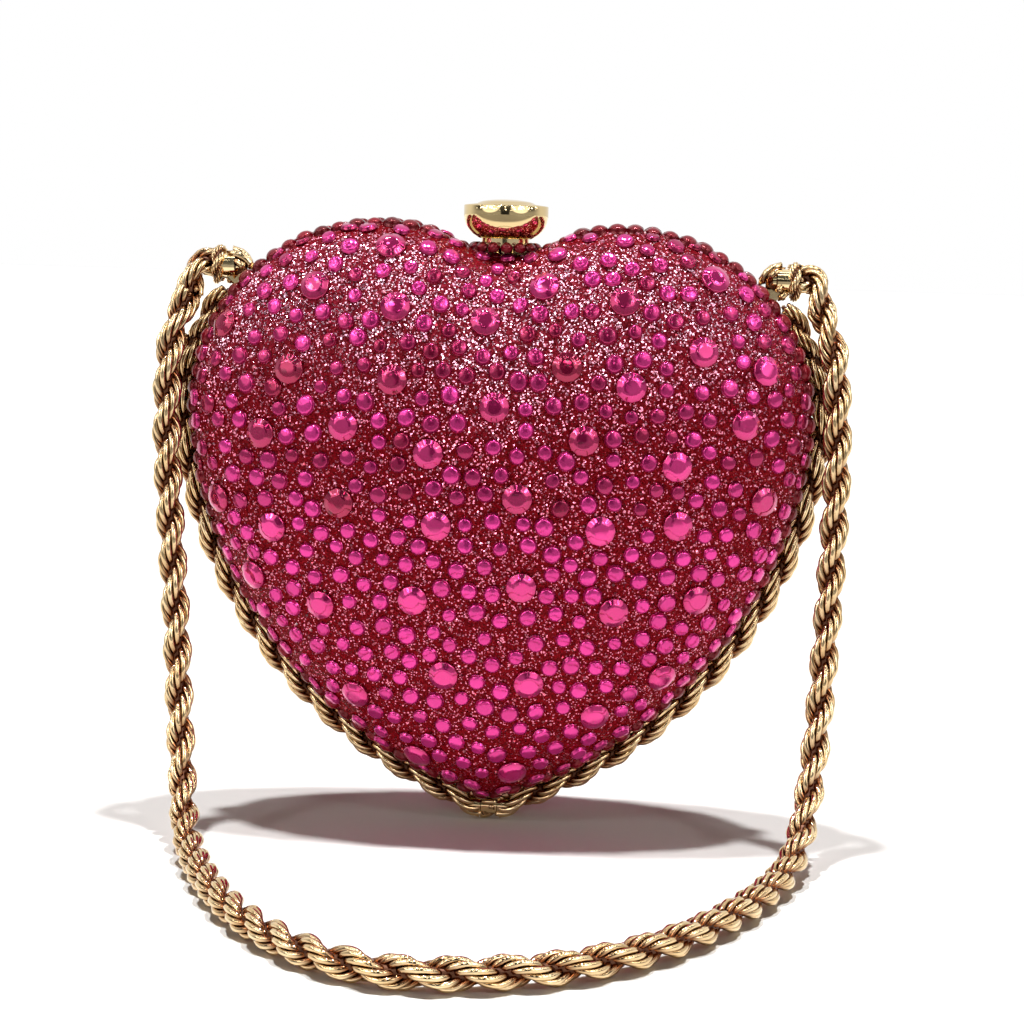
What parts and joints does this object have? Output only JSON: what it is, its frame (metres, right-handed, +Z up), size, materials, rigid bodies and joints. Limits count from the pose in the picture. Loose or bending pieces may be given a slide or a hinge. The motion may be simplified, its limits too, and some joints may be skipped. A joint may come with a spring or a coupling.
{
  "type": "heart shaped purse",
  "caption": "Heart-shaped hard evening purse covered in cut stones, with domed halves hinged at the tip, a press clasp in the cleft and a rope chain strap.",
  "frame": {"origin": "lowest point of the rope trim's line at the tip of the heart, in the plane of the seam", "axes": "+Z up from the tip to the cleft, +X to the right seen from the front, the front half faces -Y"},
  "size_m": [0.1821, 0.1696, 0.1651],
  "materials": {
    "gilt": "polished pale gold plating",
    "shell": "deep crimson with a glittering ground",
    "stone": "foil-backed cut crystal, crimson",
    "lining": "satin",
    "spring": "drawn wire"
  },
  "bodies": {
    "back_half": {"back_frame": "gilt", "back_shell": "shell", "back_lining": "lining", "back_stones": "stone", "back_small_stones": "stone", "hinge_back_leaf": "gilt", "hinge_pin": "gilt", "hinge_back_rivets": "gilt", "clasp_base": "gilt", "clasp_spring": "spring", "rope_trim_left": "gilt", "rope_trim_right": "gilt", "strap_lug_left": "gilt", "strap_lug_right": "gilt"},
    "front_half": {"front_frame": "gilt", "front_shell": "shell", "front_lining": "lining", "front_stones": "stone", "front_small_stones": "stone", "hinge_front_leaf": "gilt", "hinge_front_rivets": "gilt", "clasp_catch": "gilt", "clasp_catch_rivets": "gilt"},
    "clasp_button": {"clasp_knob": "gilt", "clasp_stem": "gilt"},
    "strap": {"strap_pin_left": "gilt", "strap_pin_right": "gilt", "strap_end_left": "gilt", "strap_end_right": "gilt", "strap_chain": "gilt"}
  },
  "joints": [
    {"name": "lid_hinge", "type": "hinge", "parent": "back_half", "child": "front_half", "pos_m": [0, 0, 0.0039], "axis": [1, 0, 0], "range_deg": [0, 55]},
    {"name": "clasp_press", "type": "slide", "parent": "back_half", "child": "clasp_button", "axis": [0, 0, -1], "range_m": [0, 0.0012], "stiffness_N_per_m": 800, "springref_m": -0.003, "deforming": ["clasp_spring"]},
    {"name": "strap_swing", "type": "hinge", "parent": "back_half", "child": "strap", "pos_m": [0, 0.00158, 0.14614], "axis": [-1, 0, 0], "range_deg": [0, 160]}
  ]
}
